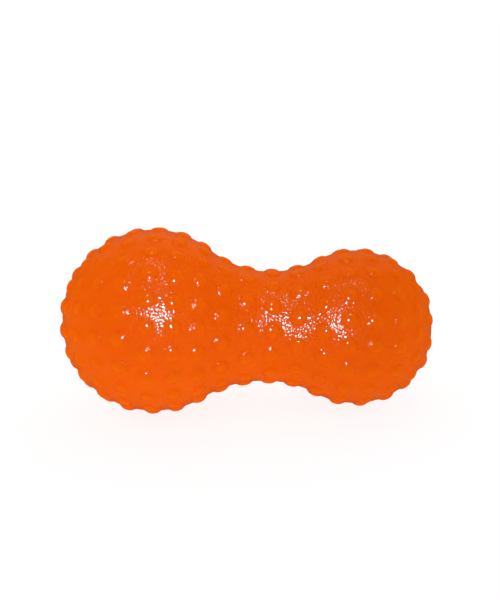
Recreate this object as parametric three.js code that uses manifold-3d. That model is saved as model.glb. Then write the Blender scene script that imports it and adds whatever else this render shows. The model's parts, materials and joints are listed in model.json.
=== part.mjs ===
// Peanut massage ball: a hollow skin of soft PVC with a big lobe, a waist and a small lobe, rings of low nubs
// all over it, and an air valve with a pull-out plug in the end of the small lobe.
// Lengths are in millimetres. The ball lies on the plane z = 0 with its long axis along X, big lobe first.
import * as THREE from "three";
import { mergeVertices } from "three/addons/utils/BufferGeometryUtils.js";
import Module from "manifold-3d";

// Skin
const bigLobeRadius = 39;
const smallLobeRadius = 33.15;
const lobeSpacing = 86;
const waistCurveRadius = 46.5;
const waistSag = 1.2; // how far the soft waist hangs below the line between the lobes' centres
const skinWall = 2.6;

// Nubs, counted ring by ring from the one on the big end's pole to the ring nearest the valve
const nubsPerRing = [1, 6, 12, 16, 20, 22, 23, 23, 21, 16, 13, 15, 14, 17, 20, 20, 18, 15, 10];
const nubRadius = 3.5;
const nubCrownRadius = 1.9;
const nubHeight = 1.25;
const bareRoundValve = 17.4; // along the skin, from the last ring to the small end's pole
const seamDegrees = -101.7; // from straight down to the mould seam at the front, which the rings are centred on
const pressedFlat = 0.3; // what the floor takes off the nubs that the ball lies on

// Valve: a grommet snapped into a boss of the skin, and the plug that stops it
const fitGap = 0.3;
const flangeRadius = 6.5;
const flangeThickness = 2.2;
const stemRadius = 4.6;
const bossWall = 2.4;
const bossLength = 4.5;
const barbLength = 3;
const barbStep = 0.8;
const plugHeadRadius = 3.9;
const plugHeadThickness = 1.2;
const plugShankRadius = 2.1;
const plugShankLength = 10;
const plugRibHeight = 0.35;
const plugRibWidth = 1.2;
const plugRibs = 2;
const plugTipRadius = 1.3;
const plugTaperLength = 2;
const plugDimpleRadius = 1;
const plugDimpleDepth = 4;
const edgeRound = 0.4;

// Facets
const nubSides = 7;
const roundSteps = 28;
const sameEdge = 0.004; // of a turn: cell corners of two rings that are closer than this share a point

const fullTurn = 2 * Math.PI;
const seamAngle = THREE.MathUtils.degToRad(seamDegrees);
const wasm = await Module();
wasm.setup();

// Outline of the skin: two lobe arcs, and a waist arc tangent to both
const bigToWaist = bigLobeRadius + waistCurveRadius;
const smallToWaist = smallLobeRadius + waistCurveRadius;
const waistX = (bigToWaist ** 2 - smallToWaist ** 2 + lobeSpacing ** 2) / (2 * lobeSpacing);
const waistCentreHeight = Math.sqrt(bigToWaist ** 2 - waistX ** 2);
const bigLean = Math.atan2(waistX, waistCentreHeight);
const smallLean = Math.atan2(lobeSpacing - waistX, waistCentreHeight);
const bigArc = bigLobeRadius * (Math.PI / 2 + bigLean);
const waistArc = waistCurveRadius * (bigLean + smallLean);
const smallArc = smallLobeRadius * (Math.PI / 2 + smallLean);
const skinLength = bigArc + waistArc + smallArc;

// The outline at a length along it from the big end's pole: place, radius, and the normal's lean towards +X
function outlineAt(length) {
  if (length < bigArc) {
    const lean = length / bigLobeRadius - Math.PI / 2;
    return { x: bigLobeRadius * Math.sin(lean), radius: bigLobeRadius * Math.cos(lean), lean };
  }
  if (length < bigArc + waistArc) {
    const lean = bigLean - (length - bigArc) / waistCurveRadius;
    const x = waistX - waistCurveRadius * Math.sin(lean);
    return { x, radius: waistCentreHeight - waistCurveRadius * Math.cos(lean), lean };
  }
  const lean = Math.PI / 2 - (skinLength - length) / smallLobeRadius;
  return { x: lobeSpacing + smallLobeRadius * Math.sin(lean), radius: smallLobeRadius * Math.cos(lean), lean };
}

// How far the skin hangs below the straight long axis, at a place between the lobes' centres
function sagAt(x) {
  const between = THREE.MathUtils.clamp(x / lobeSpacing, 0, 1);
  return waistSag * Math.sin(Math.PI * between) ** 2;
}

// A point round the long axis; angles run from straight down towards the back
function roundAxis(x, radius, angle) {
  return new THREE.Vector3(x, radius * Math.sin(angle), -radius * Math.cos(angle) - sagAt(x));
}

// A point at a height above the skin, or below it where the height is negative
function skinPoint(length, angle, height = 0) {
  const { x, radius, lean } = outlineAt(length);
  return roundAxis(x + height * Math.sin(lean), radius + height * Math.cos(lean), angle);
}

function circle(x, radius) {
  return Array.from({ length: roundSteps }, (_, i) => roundAxis(x, radius, (fullTurn * i) / roundSteps));
}

// Rings: a ring with an odd count has a nub on the seam, and one with an even count has a gap there
const ringPitch = (skinLength - bareRoundValve) / (nubsPerRing.length - 1);
const rings = nubsPerRing.map((count, index) => {
  const half = count % 2 ? 0 : 0.5;
  const nubTurns = Array.from({ length: count }, (_, i) => (i + half) / count);
  const edgeTurns = Array.from({ length: count }, (_, i) => (i + 0.5 - half) / count);
  return { count, length: index * ringPitch, nubTurns, edgeTurns };
});

// A border runs round the skin halfway between two rings, through the corners of the cells on both sides
function borderAfter(index) {
  const corners = rings[index].edgeTurns.concat(rings[index + 1]?.edgeTurns ?? []);
  corners.sort((a, b) => a - b);
  const turns = corners.filter((turn, i) => i === 0 || turn - corners[i - 1] > sameEdge);
  const length = rings[index].length + ringPitch / 2;
  return turns.map((turn) => ({ turn, point: skinPoint(length, seamAngle + turn * fullTurn) }));
}

function turnsApart(a, b) {
  const apart = Math.abs(a - b) % 1;
  return Math.min(apart, 1 - apart);
}

// The stretch of a border along one cell, between the points nearest to the cell's two edges
function stretch(border, from, to) {
  const nearest = (turn) => {
    const gaps = border.map((corner) => turnsApart(corner.turn, turn));
    return gaps.indexOf(Math.min(...gaps));
  };
  const first = nearest(from);
  const steps = (nearest(to) - first + border.length) % border.length;
  return Array.from({ length: steps + 1 }, (_, i) => border[(first + i) % border.length].point);
}

// Triangles between two closed loops that wind the same way, across the shorter diagonal each time
function bridge(outer, inner, triangles) {
  const gaps = inner.map((point) => point.distanceTo(outer[0]));
  const start = gaps.indexOf(Math.min(...gaps));
  const innerSteps = inner.length > 1 ? inner.length : 0;
  let i = 0;
  let j = 0;
  while (i < outer.length || j < innerSteps) {
    const a = outer[i % outer.length];
    const b = inner[(start + j) % inner.length];
    const nextA = outer[(i + 1) % outer.length];
    const nextB = inner[(start + j + 1) % inner.length];
    const outerMoves = j === innerSteps || (i < outer.length && nextA.distanceTo(b) < nextB.distanceTo(a));
    triangles.push(a, outerMoves ? nextA : nextB, b);
    if (outerMoves) i += 1;
    else j += 1;
  }
}

// One nub: steep sides from its foot on the skin up to a flat crown, set in the cell that surrounds it
function addNub(cell, length, angle, triangles) {
  const foot = skinPoint(length, angle);
  const normal = skinPoint(length, angle, 1).sub(foot).normalize();
  const turn = new THREE.Quaternion().setFromUnitVectors(new THREE.Vector3(0, 0, 1), normal);
  const loop = (radius, height) =>
    Array.from({ length: nubSides }, (_, i) => {
      const side = (fullTurn * i) / nubSides;
      const point = new THREE.Vector3(radius * Math.cos(side), radius * Math.sin(side), height);
      return point.applyQuaternion(turn).add(foot);
    });
  const base = loop(nubRadius, 0);
  const crown = loop(nubCrownRadius, nubHeight);
  bridge(cell, base, triangles);
  bridge(base, crown, triangles);
  for (let i = 1; i < nubSides - 1; i += 1) triangles.push(crown[0], crown[i], crown[i + 1]);
}

function addNubs(borders, triangles) {
  rings.forEach((ring, index) => {
    for (const turn of ring.nubTurns) {
      const from = turn - 0.5 / ring.count;
      const to = turn + 0.5 / ring.count;
      const near = index ? stretch(borders[index - 1], from, to) : [];
      const far = index ? stretch(borders[index], from, to) : borders[0].map((corner) => corner.point);
      addNub([...near, ...far.reverse()], ring.length, seamAngle + turn * fullTurn, triangles);
    }
  });
}

// Valve seat in the skin, from its outer face inwards: pocket for the flange, hole, and boss on the inner wall
const pocketRadius = flangeRadius + fitGap;
const holeRadius = stemRadius + fitGap;
const bossRadius = holeRadius + bossWall;
const faceX = lobeSpacing + Math.sqrt(smallLobeRadius ** 2 - pocketRadius ** 2);
const pocketFloorX = faceX - flangeThickness - fitGap;
const bossEndX = pocketFloorX - bossLength;
const bossRoot = skinLength - smallLobeRadius * Math.asin(bossRadius / (smallLobeRadius - skinWall));

// The skin as one closed surface: outside with its nubs, valve pocket and hole, boss, and inner wall
function skinGeometry() {
  const triangles = [];
  const borders = rings.map((_, index) => borderAfter(index));
  addNubs(borders, triangles);
  const innerWall = [bossRoot, ...rings.map((ring) => ring.length).reverse()].map((length) => {
    const { x, radius, lean } = outlineAt(length);
    return { x: x - skinWall * Math.sin(lean), radius: radius - skinWall * Math.cos(lean) };
  });
  const innerPole = new THREE.Vector3(innerWall.pop().x, 0, 0);
  const loops = [
    borders.at(-1).map((corner) => corner.point),
    circle(faceX, pocketRadius),
    circle(pocketFloorX, pocketRadius),
    circle(pocketFloorX, holeRadius),
    circle(bossEndX, holeRadius),
    circle(bossEndX, bossRadius),
    ...innerWall.map(({ x, radius }) => circle(x, radius)),
    [innerPole],
  ];
  for (let i = 1; i < loops.length; i += 1) bridge(loops[i - 1], loops[i], triangles);
  return new THREE.BufferGeometry().setFromPoints(triangles);
}

function solidOf(geometry) {
  const bare = geometry.clone();
  bare.deleteAttribute("normal");
  bare.deleteAttribute("uv");
  const merged = mergeVertices(bare);
  const triVerts = new Uint32Array(merged.index.array);
  const vertProperties = merged.attributes.position.array;
  return new wasm.Manifold(new wasm.Mesh({ numProp: 3, vertProperties, triVerts }));
}

function geometryOf(solid) {
  const { vertProperties, triVerts } = solid.getMesh();
  const geometry = new THREE.BufferGeometry();
  geometry.setAttribute("position", new THREE.BufferAttribute(vertProperties, 3));
  geometry.setIndex(new THREE.BufferAttribute(triVerts, 1));
  return geometry;
}

// Rest: the ball tilts until nubs on both sides of the waist touch the floor
const nubTops = rings.flatMap((ring) =>
  ring.nubTurns.map((turn) => skinPoint(ring.length, seamAngle + turn * fullTurn, nubHeight)),
);

function restingTilt() {
  let lowest = Infinity;
  let tilt = 0;
  for (const big of nubTops.filter((top) => top.x < waistX)) {
    for (const small of nubTops.filter((top) => top.x > waistX)) {
      const slope = (small.z - big.z) / (small.x - big.x);
      const height = big.z + slope * (waistX - big.x);
      if (height < lowest) {
        lowest = height;
        tilt = Math.atan(slope);
      }
    }
  }
  return tilt;
}

const tilt = restingTilt();
const upright = new THREE.Vector3(0, 1, 0);
const floorZ = Math.min(...nubTops.map((top) => top.clone().applyAxisAngle(upright, tilt).z)) + pressedFlat;

function floorGeometry() {
  const span = 2 * skinLength;
  return new THREE.BoxGeometry(span, span, span).translate(0, 0, floorZ - span / 2).rotateY(-tilt);
}

function skin() {
  const solid = solidOf(skinGeometry()).subtract(solidOf(floorGeometry()));
  const material = new THREE.MeshStandardMaterial({ color: 0xec5a06, roughness: 0.35, metalness: 0 });
  return mesh("skin", geometryOf(solid), material);
}

// A piece turned about the long axis, from a profile of [radius, place] points measured from the valve's face
function turned(profile) {
  const points = profile.map(([radius, place]) => new THREE.Vector2(radius, faceX + place));
  return new THREE.LatheGeometry(points, roundSteps).rotateZ(-Math.PI / 2);
}

// Valve seat: a flange in the skin's pocket, a stem through the hole, and a tapered barb behind the boss
const headPocketRadius = plugHeadRadius + fitGap;
const boreRadius = plugShankRadius + plugRibHeight + fitGap;
const barbPlace = bossEndX - fitGap - faceX;

function valveSeat() {
  const profile = [
    [boreRadius, -plugHeadThickness],
    [boreRadius, barbPlace - barbLength],
    [stemRadius, barbPlace - barbLength],
    [stemRadius + barbStep, barbPlace],
    [stemRadius, barbPlace],
    [stemRadius, -flangeThickness],
    [flangeRadius, -flangeThickness],
    [flangeRadius, -edgeRound],
    [flangeRadius - edgeRound, 0],
    [headPocketRadius, 0],
    [headPocketRadius, -plugHeadThickness],
    [boreRadius, -plugHeadThickness],
  ];
  const material = new THREE.MeshStandardMaterial({ color: 0xd94f08, roughness: 0.45, metalness: 0 });
  return mesh("valve_seat", turned(profile), material);
}

// Valve plug: a flat head with a dimple for the pull tool, and a ribbed shank with a tapered tip
function valvePlug() {
  const headTop = fitGap;
  const headUnder = headTop - plugHeadThickness;
  const tip = headUnder - plugShankLength;
  const taperStart = tip + plugTaperLength;
  const ribSpacing = (headUnder - taperStart) / (plugRibs + 1);
  const ribs = Array.from({ length: plugRibs }, (_, i) => taperStart + (i + 1) * ribSpacing);
  const profile = [
    [0, tip],
    [plugTipRadius, tip],
    [plugShankRadius, taperStart],
    ...ribs.flatMap((place) => [
      [plugShankRadius, place - plugRibWidth / 2],
      [plugShankRadius + plugRibHeight, place],
      [plugShankRadius, place + plugRibWidth / 2],
    ]),
    [plugShankRadius, headUnder],
    [plugHeadRadius, headUnder],
    [plugHeadRadius, headTop - edgeRound],
    [plugHeadRadius - edgeRound, headTop],
    [plugDimpleRadius, headTop],
    [plugDimpleRadius, headTop - plugDimpleDepth],
    [0, headTop - plugDimpleDepth],
  ];
  const material = new THREE.MeshStandardMaterial({ color: 0xe9e4da, roughness: 0.4, metalness: 0 });
  return mesh("valve_plug", turned(profile), material);
}

function mesh(name, geometry, material) {
  geometry.computeVertexNormals();
  const piece = new THREE.Mesh(geometry, material);
  piece.name = name;
  return piece;
}

const ball = new THREE.Group();
ball.add(skin(), valveSeat(), valvePlug());
ball.rotation.y = tilt;
const box = new THREE.Box3().setFromObject(ball, true);
const middle = box.getCenter(new THREE.Vector3());
ball.position.set(-middle.x, -middle.y, -box.min.z);

const peanutBall = new THREE.Group();
peanutBall.add(ball);

export default peanutBall;
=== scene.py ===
import json
import math

import bpy
import numpy as np
from mathutils import Matrix, Vector


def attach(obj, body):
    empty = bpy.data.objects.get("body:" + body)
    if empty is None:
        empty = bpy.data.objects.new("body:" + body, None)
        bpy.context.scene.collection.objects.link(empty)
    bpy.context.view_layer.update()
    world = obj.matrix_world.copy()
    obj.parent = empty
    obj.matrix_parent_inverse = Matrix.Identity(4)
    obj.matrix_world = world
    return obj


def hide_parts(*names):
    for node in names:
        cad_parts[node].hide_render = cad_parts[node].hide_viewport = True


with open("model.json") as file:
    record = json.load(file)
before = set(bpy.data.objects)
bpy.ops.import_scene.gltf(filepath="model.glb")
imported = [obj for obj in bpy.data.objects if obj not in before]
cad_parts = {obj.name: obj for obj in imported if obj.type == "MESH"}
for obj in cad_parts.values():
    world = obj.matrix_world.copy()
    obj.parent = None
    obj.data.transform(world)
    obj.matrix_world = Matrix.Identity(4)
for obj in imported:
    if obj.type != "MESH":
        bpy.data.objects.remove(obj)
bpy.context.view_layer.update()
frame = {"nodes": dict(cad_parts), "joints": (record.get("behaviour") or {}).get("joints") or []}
scene = bpy.context.scene
mm = 0.001  # in metres
print("frame loaded:", sorted(frame["nodes"]))

# The ball is modelled in millimetres in its own frame: big lobe's centre at the origin, long axis along +X
ballShape = {
    "bigRadius": 39.0,
    "smallRadius": 33.15,
    "lobeSpacing": 86.0,
    "waistRadius": 46.5,
    "waistSag": 1.2,  # the soft waist hangs this far below the line between the lobes
    "wall": 2.6,
    "poleRadius": 0.01,  # last loop of the inner wall, before it is merged to a point
    "subdivisions": 1,
    "bigCentre": (-39.224, 0.0, 39.548),  # where the big lobe's centre lies at rest
}
restAxis = Vector(frame["joints"][0]["axis"])  # the plug slides along the long axis
ballToWorld = (
    Matrix.Scale(mm, 4)
    @ Matrix.Translation(ballShape["bigCentre"])
    @ Matrix.Rotation(math.atan2(-restAxis.z, restAxis.x), 4, "Y")
)

# Outline of the skin: two lobe arcs and a waist arc tangent to both
bigR, smallR, waistR = (ballShape[size] for size in ("bigRadius", "smallRadius", "waistRadius"))
spacing = ballShape["lobeSpacing"]
waistX = ((bigR + waistR) ** 2 - (smallR + waistR) ** 2 + spacing**2) / (2 * spacing)
waistHeight = math.sqrt((bigR + waistR) ** 2 - waistX**2)
bigLean = math.atan2(waistX, waistHeight)
smallLean = math.atan2(spacing - waistX, waistHeight)
bigArc = bigR * (math.pi / 2 + bigLean)
waistArc = waistR * (bigLean + smallLean)
skinLength = bigArc + waistArc + smallR * (math.pi / 2 + smallLean)


def skinAt(length):
    # place along the axis, radius and lean of the normal at a length along the outline from the big pole
    if length < bigArc:
        lean = length / bigR - math.pi / 2
        return bigR * math.sin(lean), bigR * math.cos(lean), lean
    if length < bigArc + waistArc:
        lean = bigLean - (length - bigArc) / waistR
        return waistX - waistR * math.sin(lean), waistHeight - waistR * math.cos(lean), lean
    lean = math.pi / 2 - (skinLength - length) / smallR
    return spacing + smallR * math.sin(lean), smallR * math.cos(lean), lean


def dropToSkin(points):
    # nearest points of the smooth skin, the heights above it, and the lengths along the outline
    x = points[:, 0]
    reach = np.maximum(np.hypot(points[:, 1], points[:, 2]), 1e-9)  # never zero, so that the poles divide
    around = points[:, 1:] / reach[:, None]
    bigTurn = np.arctan2(x, reach)
    smallTurn = np.arctan2(x - spacing, reach)
    waistTurn = np.arctan2(waistX - x, waistHeight - reach)
    onLobe = [bigTurn <= bigLean, smallTurn >= -smallLean]
    lean = np.select(onLobe, [bigTurn, smallTurn], waistTurn)
    ahead = np.sin(lean)
    out = np.cos(lean)
    footX = np.select(onLobe, [bigR * ahead, spacing + smallR * ahead], waistX - waistR * ahead)
    footReach = np.select(onLobe, [bigR * out, smallR * out], waistHeight - waistR * out)
    length = np.select(
        onLobe,
        [bigR * (lean + math.pi / 2), skinLength - smallR * (math.pi / 2 - lean)],
        bigArc + waistR * (bigLean - lean),
    )
    height = (x - footX) * ahead + (reach - footReach) * out
    return np.column_stack([footX, around * footReach[:, None]]), height, length


def pointsOf(piece):
    if piece.mode != "OBJECT":
        bpy.ops.object.mode_set(mode="OBJECT")
    flat = np.empty(len(piece.data.vertices) * 3)
    piece.data.vertices.foreach_get("co", flat)
    return flat.reshape(-1, 3)


def movePoints(piece, points):
    piece.data.vertices.foreach_set("co", np.ascontiguousarray(points, dtype=np.float32).ravel())
    piece.data.update()


def selectPoints(piece, chosen):
    # leaves the piece in edit mode with these vertices, and the edges between them, selected
    if piece.mode != "OBJECT":
        bpy.ops.object.mode_set(mode="OBJECT")
    ends = np.empty(len(piece.data.edges) * 2, dtype=np.int32)
    piece.data.edges.foreach_get("vertices", ends)
    both = chosen[ends.reshape(-1, 2)].all(axis=1)
    piece.data.polygons.foreach_set("select", np.zeros(len(piece.data.polygons), dtype=bool))
    piece.data.edges.foreach_set("select", both)
    piece.data.vertices.foreach_set("select", chosen)
    bpy.ops.object.mode_set(mode="EDIT")
    bpy.ops.mesh.select_mode(type="VERT" if chosen.sum() == 1 else "EDGE")


def settle(piece, body, node):
    # out of the ball's own millimetres into the shared frame, then onto its body
    piece.data.transform(ballToWorld)
    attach(piece, body)
    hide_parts(node)


# Nubs: one is modelled flat and copied into the cells of the rings
nubShape = {
    "perRing": [1, 6, 12, 16, 20, 22, 23, 23, 21, 16, 13, 15, 14, 17, 20, 20, 18, 15, 10],
    "bareRoundValve": 17.4,  # mm of outline with no nubs, at the small pole
    "seamDegrees": -101.7,  # the rings are centred on the mould seam at the front
    "sides": 12,
    "cage": [(4.2, -0.01), (3.4, 0.12), (2.6, 0.83), (1.4, 1.18)],  # radius and height, before subdivision
    "crown": 1.33,
    "border": 5.88,  # radius of the cell's border while the nub lies flat
    "strip": 1.0,  # bare skin left between the cells of two rings
    "nearSide": 0.9,  # a border point this far out belongs to that side of its cell
    "nearRadius": 0.05,  # mm within which a point is on a circle of the nub
    "nearLoop": 0.02,  # mm within which a point is on a loop round the ball
    "weld": 0.01,  # mm within which the borders of two cells become one
}
perRing = nubShape["perRing"]
ringPitch = (skinLength - nubShape["bareRoundValve"]) / (len(perRing) - 1)
halfCell = (ringPitch - nubShape["strip"]) / 2


def onCircle(points, radius):
    return np.abs(np.hypot(points[:, 0], points[:, 1]) - radius) < nubShape["nearRadius"]


def modelNub():
    cage = nubShape["cage"]
    footRadius, footHeight = cage[0]
    bpy.ops.object.select_all(action="DESELECT")
    bpy.ops.mesh.primitive_circle_add(vertices=nubShape["sides"], radius=footRadius, fill_type="NOTHING")
    nub = bpy.context.object
    bpy.ops.object.mode_set(mode="EDIT")
    bpy.ops.mesh.select_mode(type="EDGE")
    bpy.ops.mesh.select_all(action="SELECT")
    halfStep = math.pi / nubShape["sides"]
    bpy.ops.transform.rotate(value=halfStep, orient_axis="Z", center_override=(0, 0, 0))
    bpy.ops.transform.translate(value=(0, 0, footHeight))
    for (radius, height), (nextRadius, nextHeight) in zip(cage, cage[1:]):
        bpy.ops.mesh.extrude_edges_move(TRANSFORM_OT_translate={"value": (0, 0, nextHeight - height)})
        shrink = nextRadius / radius
        bpy.ops.transform.resize(value=(shrink, shrink, 1), center_override=(0, 0, 0))
    bpy.ops.mesh.edge_face_add()
    bpy.ops.mesh.poke()
    points = pointsOf(nub)
    selectPoints(nub, onCircle(points, 0))  # the middle of the poked top
    bpy.ops.transform.translate(value=(0, 0, nubShape["crown"] - cage[-1][1]))
    selectPoints(nub, onCircle(points, footRadius))
    bpy.ops.mesh.extrude_edges_move(TRANSFORM_OT_translate={"value": (0, 0, -footHeight)})
    grow = nubShape["border"] / footRadius
    bpy.ops.transform.resize(value=(grow, grow, 1), center_override=(0, 0, 0))
    bpy.ops.object.mode_set(mode="OBJECT")
    return nub


def cellBorder(points):
    # places of the border's points, from -1 to 1 across and along the cell: corners and two to a side
    angle = np.arctan2(points[:, 1], points[:, 0])
    square = np.column_stack([np.cos(angle), np.sin(angle)])
    square /= np.abs(square).max(axis=1)[:, None]
    side = np.sign(square)
    return np.where(np.abs(square) > nubShape["nearSide"], side, side / 3)


def layNub(flat, border, ring, turn):
    # the flat nub's points where they lie in their cell of the ring
    count = perRing[ring]
    angle = math.radians(nubShape["seamDegrees"]) + turn * 2 * math.pi
    x, radius, lean = skinAt(ring * ringPitch)
    out = np.array([0, math.sin(angle), -math.cos(angle)])
    normal = np.array([math.sin(lean), 0, 0]) + math.cos(lean) * out
    along = np.array([math.cos(lean), 0, 0]) - math.sin(lean) * out
    across = np.array([0, math.cos(angle), math.sin(angle)])
    centre = np.array([x, 0, 0]) + radius * out
    spread = centre + flat[:, :1] * across + flat[:, 1:2] * along
    laid = dropToSkin(spread)[0] + flat[:, 2:] * normal
    for index, (side, ahead) in zip(border, cellBorder(flat[border])):
        if ring:
            borderAngle = angle + side * math.pi / count
            borderX, borderRadius, _ = skinAt(ring * ringPitch + ahead * halfCell)
        else:  # the one nub on the pole has a round cell
            borderAngle = angle + math.atan2(flat[index, 0], flat[index, 1])
            borderX, borderRadius, _ = skinAt(halfCell)
        laid[index] = (borderX, borderRadius * math.sin(borderAngle), -borderRadius * math.cos(borderAngle))
    return laid


# Valve seat: pocket and boss of the skin, and the grommet in them, measured back from the valve's face
valveShape = {
    "gap": 0.3,
    "flangeRadius": 6.5,
    "flangeThickness": 2.2,
    "stemRadius": 4.6,
    "bossWall": 2.4,
    "bossLength": 4.5,
    "barbLength": 3.0,
    "barbStep": 0.8,
    "collar": 9.8,  # mm of outline from the small pole to the loop between the nubs and the pocket
    "rimCrease": 0.7,  # of the pocket's rim
    "crease": 0.8,  # of the edges inside
    "edgeRound": 0.35,
    "steps": 56,
    "weld": 0.001,
    "roundSegments": 3,
    "roundAbove": 40.0,  # degrees between two faces whose edge is rounded
    "smoothBelow": 35.0,  # and between two that shade as one
}
gap = valveShape["gap"]
pocketRadius = valveShape["flangeRadius"] + gap
holeRadius = valveShape["stemRadius"] + gap
bossRadius = holeRadius + valveShape["bossWall"]
faceX = spacing + math.sqrt(smallR**2 - pocketRadius**2)
floorX = faceX - valveShape["flangeThickness"] - gap
bossEndX = floorX - valveShape["bossLength"]


def valveLoops():
    # place, radius and crease of each loop, from the nubs through pocket and hole and round the boss
    collarX, collarRadius, _ = skinAt(skinLength - valveShape["collar"])
    crease = valveShape["crease"]
    return [
        (collarX, collarRadius, 0),
        (faceX, pocketRadius, valveShape["rimCrease"]),
        (floorX, pocketRadius, crease),
        (floorX, holeRadius, crease),
        (bossEndX, holeRadius, crease),
        (bossEndX, bossRadius, crease),
    ]


def innerLoops():
    # the same for the inner wall, from the boss back to the big pole
    wall = ballShape["wall"]
    bossRoot = skinLength - smallR * math.asin(bossRadius / (smallR - wall))
    loops = []
    for length in [bossRoot] + [ring * ringPitch for ring in reversed(range(len(perRing)))]:
        x, radius, lean = skinAt(length)
        innerRadius = max(radius - wall * math.cos(lean), ballShape["poleRadius"])
        loops.append((x - wall * math.sin(lean), innerRadius, 0))
    return loops


def joinNubs():
    nub = modelNub()
    flat = pointsOf(nub)
    border = np.flatnonzero(onCircle(flat, nubShape["border"]))
    copies = []
    for ring, count in enumerate(perRing):
        half = 0 if count % 2 else 0.5  # an odd ring has a nub on the seam, an even one a gap
        for i in range(count):
            copy = nub.copy()
            copy.data = nub.data.copy()
            scene.collection.objects.link(copy)
            movePoints(copy, layNub(flat, border, ring, (i + half) / count))
            copies.append(copy)
    bpy.data.objects.remove(nub)
    bpy.ops.object.select_all(action="DESELECT")
    for copy in copies:
        copy.select_set(True)
    bpy.context.view_layer.objects.active = copies[0]
    bpy.ops.object.join()
    skin = bpy.context.object
    skin.name = skin.data.name = "ballSkin"
    bpy.ops.object.mode_set(mode="EDIT")
    bpy.ops.mesh.select_all(action="SELECT")
    bpy.ops.mesh.remove_doubles(threshold=nubShape["weld"])
    print("nubs laid:", len(copies))
    return skin


def onLoop(lengths, length):
    return np.abs(lengths - length) < nubShape["nearLoop"]


def modelSkin():
    skin = joinNubs()
    lengths = dropToSkin(pointsOf(skin))[2]

    # bridge each ring's cells to the next ring's
    for ring in range(len(perRing) - 1):
        nearEnd = onLoop(lengths, ring * ringPitch + halfCell)
        farEnd = onLoop(lengths, (ring + 1) * ringPitch - halfCell)
        selectPoints(skin, nearEnd | farEnd)
        bpy.ops.mesh.bridge_edge_loops()

    # close the skin through the valve pocket and hole, round the boss, and along the inner wall
    lastLength = (len(perRing) - 1) * ringPitch + halfCell
    selectPoints(skin, onLoop(lengths, lastLength))
    x, radius, _ = skinAt(lastLength)
    for nextX, nextRadius, crease in valveLoops() + innerLoops():
        bpy.ops.mesh.extrude_edges_move(TRANSFORM_OT_translate={"value": (nextX - x, 0, 0)})
        grow = nextRadius / radius
        bpy.ops.transform.resize(value=(1, grow, grow), center_override=(nextX, 0, 0))
        if crease:
            bpy.ops.transform.edge_crease(value=crease)
        x, radius = nextX, nextRadius
    bpy.ops.mesh.merge(type="CENTER")
    bpy.ops.mesh.select_all(action="SELECT")
    bpy.ops.mesh.normals_make_consistent(inside=False)
    bpy.ops.object.mode_set(mode="OBJECT")
    rounded = skin.modifiers.new("rounded", "SUBSURF")
    rounded.levels = rounded.render_levels = ballShape["subdivisions"]
    bpy.ops.object.modifier_apply(modifier=rounded.name)
    bpy.ops.object.shade_smooth()
    return skin


# Valve stopper, and the turned pieces of the valve
plugShape = {
    "headRadius": 3.9,
    "headThickness": 1.2,
    "shankRadius": 2.1,
    "shankLength": 10.0,
    "ribHeight": 0.35,
    "ribWidth": 1.2,
    "ribs": 2,
    "tipRadius": 1.3,
    "taperLength": 2.0,
    "dimpleRadius": 1.0,
    "dimpleDepth": 4.0,
    "edgeRound": 0.4,
}


def turnProfile(name, profile, edgeRound):
    # draws the profile point by point, spins it about the long axis and rounds its edges
    bpy.ops.object.select_all(action="DESELECT")
    bpy.ops.mesh.primitive_plane_add(size=1)
    piece = bpy.context.object
    piece.name = piece.data.name = name
    bpy.ops.object.mode_set(mode="EDIT")
    bpy.ops.mesh.select_mode(type="VERT")
    bpy.ops.mesh.select_all(action="SELECT")
    bpy.ops.mesh.merge(type="CENTER")
    last = (0, 0)
    for index, (radius, place) in enumerate(profile):
        step = (place - last[1], 0, radius - last[0])
        if index:
            bpy.ops.mesh.extrude_vertices_move(TRANSFORM_OT_translate={"value": step})
        else:
            bpy.ops.transform.translate(value=step)
        last = (radius, place)
    bpy.ops.mesh.select_all(action="SELECT")
    bpy.ops.mesh.spin(steps=valveShape["steps"], angle=2 * math.pi, center=(0, 0, 0), axis=(1, 0, 0))
    bpy.ops.mesh.select_all(action="SELECT")
    bpy.ops.mesh.remove_doubles(threshold=valveShape["weld"])
    bpy.ops.mesh.normals_make_consistent(inside=False)
    bpy.ops.object.mode_set(mode="OBJECT")
    softened = piece.modifiers.new("softened", "BEVEL")
    softened.width = edgeRound
    softened.segments = valveShape["roundSegments"]
    softened.limit_method = "ANGLE"
    softened.angle_limit = math.radians(valveShape["roundAbove"])
    bpy.ops.object.modifier_apply(modifier=softened.name)
    bpy.ops.object.shade_smooth_by_angle(angle=math.radians(valveShape["smoothBelow"]))
    return piece


def modelGrommet():
    v, p = valveShape, plugShape
    bore = p["shankRadius"] + p["ribHeight"] + gap
    barb = bossEndX - gap
    seat = faceX - p["headThickness"]
    flange = faceX - v["flangeThickness"]
    profile = [
        (bore, seat),
        (bore, barb - v["barbLength"]),
        (v["stemRadius"], barb - v["barbLength"]),
        (v["stemRadius"] + v["barbStep"], barb),
        (v["stemRadius"], barb),
        (v["stemRadius"], flange),
        (v["flangeRadius"], flange),
        (v["flangeRadius"], faceX),
        (p["headRadius"] + gap, faceX),
        (p["headRadius"] + gap, seat),
        (bore, seat),
    ]
    return turnProfile("valveGrommet", profile, v["edgeRound"])


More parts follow.
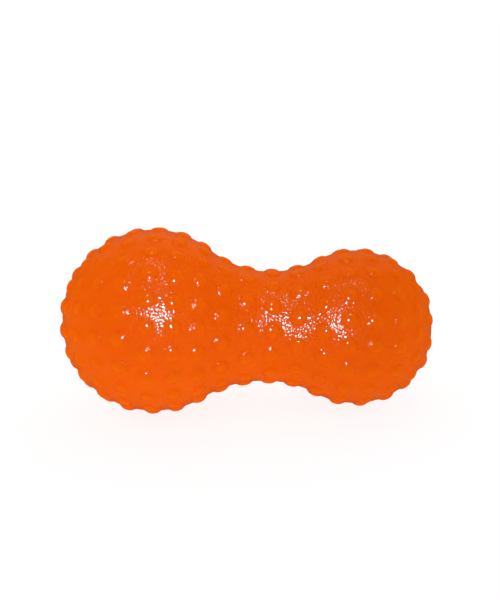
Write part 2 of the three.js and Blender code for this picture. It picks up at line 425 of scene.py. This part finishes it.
def modelStopper():
    p = plugShape
    top = faceX + gap
    under = top - p["headThickness"]
    tip = under - p["shankLength"]
    taper = tip + p["taperLength"]
    ribPitch = (under - taper) / (p["ribs"] + 1)
    profile = [(0, tip), (p["tipRadius"], tip), (p["shankRadius"], taper)]
    for rib in range(p["ribs"]):
        place = taper + (rib + 1) * ribPitch
        for side, height in ((-0.5, 0), (0, p["ribHeight"]), (0.5, 0)):
            profile.append((p["shankRadius"] + height, place + side * p["ribWidth"]))
    profile += [
        (p["shankRadius"], under),
        (p["headRadius"], under),
        (p["headRadius"], top),
        (p["dimpleRadius"], top),
        (p["dimpleRadius"], top - p["dimpleDepth"]),
        (0, top - p["dimpleDepth"]),
    ]
    return turnProfile("valveStopper", profile, p["edgeRound"])


ballSkin = modelSkin()
skinPoints = pointsOf(ballSkin)
nubTop = np.clip(dropToSkin(skinPoints)[1], 0, 1)  # mm above the smooth skin, for the material
heightLayer = ballSkin.data.attributes.new("nubTop", "FLOAT", "POINT")
heightLayer.data.foreach_set("value", nubTop.astype(np.float32))
betweenLobes = np.clip(skinPoints[:, 0] / spacing, 0, 1)
skinPoints[:, 2] -= ballShape["waistSag"] * np.sin(math.pi * betweenLobes) ** 2
movePoints(ballSkin, skinPoints)
settle(ballSkin, "ball", "skin")
pressed = pointsOf(ballSkin)
pressed[:, 2] = np.maximum(pressed[:, 2], 0)  # the floor presses the lowest nubs flat
movePoints(ballSkin, pressed)
print("skin modelled:", len(ballSkin.data.polygons), "faces")

valveGrommet = modelGrommet()
settle(valveGrommet, "ball", "valve_seat")
valveStopper = modelStopper()
settle(valveStopper, "plug", "valve_plug")
print("valve modelled")


def hexColour(code):
    channels = [int(code[i : i + 2], 16) / 255 for i in (0, 2, 4)]
    return [c / 12.92 if c <= 0.04045 else ((c + 0.055) / 1.055) ** 2.4 for c in channels] + [1.0]


def addNode(tree, kind, inputs=None, **settings):
    # a Mix node's numbers are its inputs 2 and 3, its colours 6 and 7
    node = tree.nodes.new(kind)
    for name, value in settings.items():
        setattr(node, name, value)
    for name, value in (inputs or {}).items():
        if isinstance(value, bpy.types.NodeSocket):
            tree.links.new(value, node.inputs[name])
        else:
            node.inputs[name].default_value = value
    return node


def startMaterial(name):
    material = bpy.data.materials.new(name)
    material.use_nodes = True
    material.node_tree.nodes.clear()
    return material, material.node_tree


def finishMaterial(tree, surface):
    shader = addNode(tree, "ShaderNodeBsdfPrincipled", surface)
    addNode(tree, "ShaderNodeOutputMaterial", {"Surface": shader.outputs["BSDF"]})


def cloudedColour(tree, look):
    # slow drift between two tones of a moulding
    place = addNode(tree, "ShaderNodeTexCoord").outputs["Object"]
    size = {"Vector": place, "Scale": 1 / (look["cloud"] * mm), "Detail": look["cloudDetail"]}
    cloud = addNode(tree, "ShaderNodeTexNoise", size).outputs["Fac"]
    tones = {"Factor": cloud, 6: hexColour(look["colour"]), 7: hexColour(look["cloudColour"])}
    return addNode(tree, "ShaderNodeMix", tones, data_type="RGBA").outputs[2]


def wear(piece, material):
    piece.data.materials.clear()
    piece.data.materials.append(material)


# Soft PVC, rotationally moulded: glossy, a little see-through, pebbled by the mould between polished nubs
skinLook = {
    "colour": "EB5D02",
    "cloudColour": "EF6103",  # where the wall is thinner
    "cloud": 16.667,  # mm across
    "cloudDetail": 2.0,
    "nubColour": "E86103",
    "nubFrom": 0.25,  # mm above the smooth skin where a nub's polish begins
    "nubTo": 0.7,  # and where it is full
    "smallLobeShade": "F5F5F5",  # painted shade: multiplied in to darken the small lobe, standing in for the light that falls off towards that end
    "smallLobeShadeFrom": 0.01,  # m along the ball, from the waist
    "smallLobeShadeTo": 0.045,  # m, to the middle of the small lobe
    "edgeGlow": "FF660A",  # light that comes through the soft skin at its edges
    "edgeGlowWeight": 0.5,
    "edgeGlowRoughness": 0.35,
    "pebble": 1.1,  # mm across one pebble, drawn half as coarse again as the real grain so that it shows
    "pebbleHeight": 0.046,  # mm
    "pebbleFall": -4.0,  # times the distance squared, so one height down at half a pebble from its middle
    "skinRoughness": 0.17,
    "nubRoughness": 0.12,
    "ior": 1.53,
    "specular": 0.12,  # lower than real PVC's, as almost no surroundings show in the gloss
    "through": 0.8,  # share of the light that enters the skin
    "throughTint": (1.0, 0.85, 0.3),
    "throughDepth": 3.0,  # mm
}


def pvcSkin(look):
    material, tree = startMaterial("mouldedSoftPvc")
    place = addNode(tree, "ShaderNodeTexCoord").outputs["Object"]

    # colour: clouded skin, then the nubs, then painted shade that darkens the small lobe
    height = addNode(tree, "ShaderNodeAttribute", attribute_name="nubTop").outputs["Fac"]
    polish = {"Value": height, "From Min": look["nubFrom"], "From Max": look["nubTo"]}
    onNub = addNode(tree, "ShaderNodeMapRange", polish, interpolation_type="SMOOTHSTEP").outputs["Result"]
    tones = {"Factor": onNub, 6: cloudedColour(tree, look), 7: hexColour(look["nubColour"])}
    colour = addNode(tree, "ShaderNodeMix", tones, data_type="RGBA").outputs[2]
    along = addNode(tree, "ShaderNodeSeparateXYZ", {"Vector": place}).outputs["X"]
    stretch = {"Value": along, "From Min": look["smallLobeShadeFrom"], "From Max": look["smallLobeShadeTo"]}
    onSmall = addNode(tree, "ShaderNodeMapRange", stretch).outputs["Result"]
    # painted shade, multiplied in: darker towards the small lobe, for light that falls off there
    tones = {"Factor": onSmall, 6: colour, 7: hexColour(look["smallLobeShade"])}
    colour = addNode(tree, "ShaderNodeMix", tones, data_type="RGBA", blend_type="MULTIPLY").outputs[2]

    # pebbles: low domes that fade out on the nubs
    grid = {"Vector": place, "Scale": 1 / (look["pebble"] * mm)}
    away = addNode(tree, "ShaderNodeTexVoronoi", grid).outputs["Distance"]
    dome = addNode(tree, "ShaderNodeMath", {0: away, 1: away}, operation="MULTIPLY").outputs[0]
    fade = {"Value": onNub, "To Min": look["pebbleFall"], "To Max": 0.0}
    fall = addNode(tree, "ShaderNodeMapRange", fade).outputs["Result"]
    relief = addNode(tree, "ShaderNodeMath", {0: dome, 1: fall}, operation="MULTIPLY").outputs[0]
    bump = addNode(tree, "ShaderNodeBump", {"Height": relief, "Distance": look["pebbleHeight"] * mm})

    gloss = {"Value": onNub, "To Min": look["skinRoughness"], "To Max": look["nubRoughness"]}
    roughness = addNode(tree, "ShaderNodeMapRange", gloss).outputs["Result"]
    surface = {
        "Base Color": colour,
        "Roughness": roughness,
        "Normal": bump.outputs["Normal"],
        "IOR": look["ior"],
        "Specular IOR Level": look["specular"],
        "Sheen Weight": look["edgeGlowWeight"],
        "Sheen Roughness": look["edgeGlowRoughness"],
        "Sheen Tint": hexColour(look["edgeGlow"]),
        "Subsurface Weight": look["through"],
        "Subsurface Radius": look["throughTint"],
        "Subsurface Scale": look["throughDepth"] * mm,
    }
    finishMaterial(tree, surface)
    return material


# PVC grommet, injection moulded: satin, with the faint clouding of a thick moulding
grommetLook = {
    "colour": "DC5306",
    "cloudColour": "D04A04",
    "cloud": 3.0,  # mm across
    "cloudDetail": 3.0,
    "roughness": 0.4,
    "ior": 1.53,
    "specular": 0.2,
}


def pvcGrommet(look):
    material, tree = startMaterial("mouldedPvcGrommet")
    surface = {
        "Base Color": cloudedColour(tree, look),
        "Roughness": look["roughness"],
        "IOR": look["ior"],
        "Specular IOR Level": look["specular"],
    }
    finishMaterial(tree, surface)
    return material


# Low-density polyethylene stopper, injection moulded: milky, waxy and soft in the light
stopperLook = {
    "colour": "E9E4DA",
    "cloudColour": "DDD6C8",
    "cloud": 2.0,  # mm across
    "cloudDetail": 3.0,
    "roughness": 0.42,
    "ior": 1.51,
    "through": 0.3,
    "throughTint": (1.0, 0.9, 0.7),
    "throughDepth": 1.0,  # mm
}


def waxyStopper(look):
    material, tree = startMaterial("mouldedPolyethylene")
    surface = {
        "Base Color": cloudedColour(tree, look),
        "Roughness": look["roughness"],
        "IOR": look["ior"],
        "Subsurface Weight": look["through"],
        "Subsurface Radius": look["throughTint"],
        "Subsurface Scale": look["throughDepth"] * mm,
    }
    finishMaterial(tree, surface)
    return material


wear(ballSkin, pvcSkin(skinLook))
wear(valveGrommet, pvcGrommet(grommetLook))
wear(valveStopper, waxyStopper(stopperLook))
print("materials made")

# Studio: white floor lit from below, white surround, and small lamps that show in the gloss alone
studio = {
    "floorSize": 20.0,  # m
    "floorColour": "F8F8F8",
    "floorWhite": 1.015,  # how bright the floor glows where the camera sees it
    "floorGlow": 0.86,  # share of that glow; the rest is paper, which keeps the ball's shadow
    "floorLight": 1.27,  # how bright the floor lights the ball
    "floorLit": 0.75,  # share of its light that comes up through it, as on a light table
    "floorGloss": 0.04,  # how bright the skin mirrors the floor
    "white": 1.0,  # how bright the camera sees the surround
    "surround": 0.87,  # light from the front
    "backLight": 1.3,  # light from behind, which keeps the rims bright
    "backLightFrom": -0.2,  # Y of the direction where that light begins
    "backLightFull": 0.5,  # and where it is full
    "frontGloss": 0.0,  # how bright the skin mirrors the room behind the camera
    "backGloss": 0.15,  # and the backdrop
    "backdrop": (0.0, 0.85, 0.53),  # direction of the backdrop's middle
    "backdropFrom": 0.72,  # cosine of the angle from there to its edge
    "backdropFull": 0.98,  # and to where it is full
    "sunStrength": 0.2,
    "sunAngle": 60.0,
    "sunTurn": (35.0, -15.0, 0.0),
    "sparks": [  # name, place, tilt in degrees, watts and radius of the small lamps that give the sparkle
        ("sparkLamp", (-0.01265, -0.1262, 0.08524), 21.5, 1.8, 0.004),
        ("backSparkLamp", (0.02, 0.14, 0.09), -16.0, 1.8, 0.004),
        ("topSparkLamp", (-0.01, -0.13, 0.39), 18.0, 1.6, 0.006),
    ],
    "sparkCone": 120.0,
    "sparkBlend": 0.1,
    "cameraPlace": (0.00158, -0.272126, 0.116096),
    "cameraTurn": (75.7843, 1.5554, -0.4723),
    "lens": 38.984,
    "clipStart": 0.005,
}


def inRadians(turns):
    return [math.radians(turn) for turn in turns]


def raysOf(tree):
    # the kinds of ray, and whether the camera sees this, straight or through something clear
    ray = addNode(tree, "ShaderNodeLightPath").outputs
    direct = {0: ray["Is Camera Ray"], 1: ray["Is Transmission Ray"]}
    return ray, addNode(tree, "ShaderNodeMath", direct, operation="MAXIMUM").outputs[0]


def makeFloor(s):
    bpy.ops.object.select_all(action="DESELECT")
    bpy.ops.mesh.primitive_plane_add(size=s["floorSize"])
    floor = bpy.context.object
    floor.name = "studioFloor"
    material, tree = startMaterial("paperFloor")
    ray, seen = raysOf(tree)
    mirrored = ray["Is Glossy Ray"]
    lit = {0: seen, 2: s["floorLight"], 3: s["floorWhite"]}
    level = addNode(tree, "ShaderNodeMix", lit, data_type="FLOAT").outputs[0]
    dimmed = {0: mirrored, 2: level, 3: s["floorGloss"]}
    level = addNode(tree, "ShaderNodeMix", dimmed, data_type="FLOAT").outputs[0]
    through = {"Value": seen, "To Min": s["floorLit"], "To Max": s["floorGlow"]}
    share = addNode(tree, "ShaderNodeMapRange", through).outputs["Result"]
    share = addNode(tree, "ShaderNodeMath", {0: share, 1: mirrored}, operation="MAXIMUM").outputs[0]
    paper = addNode(tree, "ShaderNodeBsdfDiffuse", {"Color": hexColour(s["floorColour"])}).outputs["BSDF"]
    glow = addNode(tree, "ShaderNodeEmission", {"Strength": level}).outputs["Emission"]
    shown = addNode(tree, "ShaderNodeMixShader", {0: share, 1: paper, 2: glow}).outputs["Shader"]
    addNode(tree, "ShaderNodeOutputMaterial", {"Surface": shown})
    wear(floor, material)


def makeSurround(s):
    world = bpy.data.worlds.new("studioSurround")
    scene.world = world
    world.use_nodes = True
    world.cycles.sampling_method = "NONE"
    tree = world.node_tree
    tree.nodes.clear()
    ray, seen = raysOf(tree)
    towards = addNode(tree, "ShaderNodeTexCoord").outputs["Generated"]
    behind = addNode(tree, "ShaderNodeSeparateXYZ", {"Vector": towards}).outputs["Y"]
    light = {
        "Value": behind,
        "From Min": s["backLightFrom"],
        "From Max": s["backLightFull"],
        "To Min": s["surround"],
        "To Max": s["backLight"],
    }
    lit = addNode(tree, "ShaderNodeMapRange", light).outputs["Result"]
    aim = {0: towards, 1: s["backdrop"]}
    onBackdrop = addNode(tree, "ShaderNodeVectorMath", aim, operation="DOT_PRODUCT").outputs["Value"]
    gloss = {
        "Value": onBackdrop,
        "From Min": s["backdropFrom"],
        "From Max": s["backdropFull"],
        "To Min": s["frontGloss"],
        "To Max": s["backGloss"],
    }
    mirrored = addNode(tree, "ShaderNodeMapRange", gloss, interpolation_type="SMOOTHSTEP").outputs["Result"]
    onBall = {0: ray["Is Glossy Ray"], 2: lit, 3: mirrored}
    level = addNode(tree, "ShaderNodeMix", onBall, data_type="FLOAT").outputs[0]
    level = addNode(tree, "ShaderNodeMix", {0: seen, 2: level, 3: s["white"]}, data_type="FLOAT").outputs[0]
    glow = addNode(tree, "ShaderNodeBackground", {"Color": hexColour("FFFFFF"), "Strength": level})
    addNode(tree, "ShaderNodeOutputWorld", {"Surface": glow.outputs["Background"]})


def hangLamps(s):
    bpy.ops.object.light_add(type="SUN", rotation=inRadians(s["sunTurn"]))
    sun = bpy.context.object
    sun.name = "softSun"
    sun.data.energy = s["sunStrength"]
    sun.data.angle = math.radians(s["sunAngle"])
    sun.visible_glossy = False
    for name, place, tilt, power, radius in s["sparks"]:
        bpy.ops.object.light_add(type="SPOT", location=place, rotation=(math.radians(tilt), 0, 0))
        spark = bpy.context.object
        spark.name = name
        spark.data.energy = power
        spark.data.shadow_soft_size = radius
        spark.data.spot_size = math.radians(s["sparkCone"])
        spark.data.spot_blend = s["sparkBlend"]
        spark.visible_camera = False
        spark.visible_diffuse = False


def placeCamera(s):
    bpy.ops.object.camera_add(location=s["cameraPlace"], rotation=inRadians(s["cameraTurn"]))
    camera = bpy.context.object
    camera.data.lens = s["lens"]
    camera.data.clip_start = s["clipStart"]
    scene.camera = camera
    scene.view_settings.view_transform = "Standard"


makeFloor(studio)
makeSurround(studio)
hangLamps(studio)
placeCamera(studio)
print("studio set")
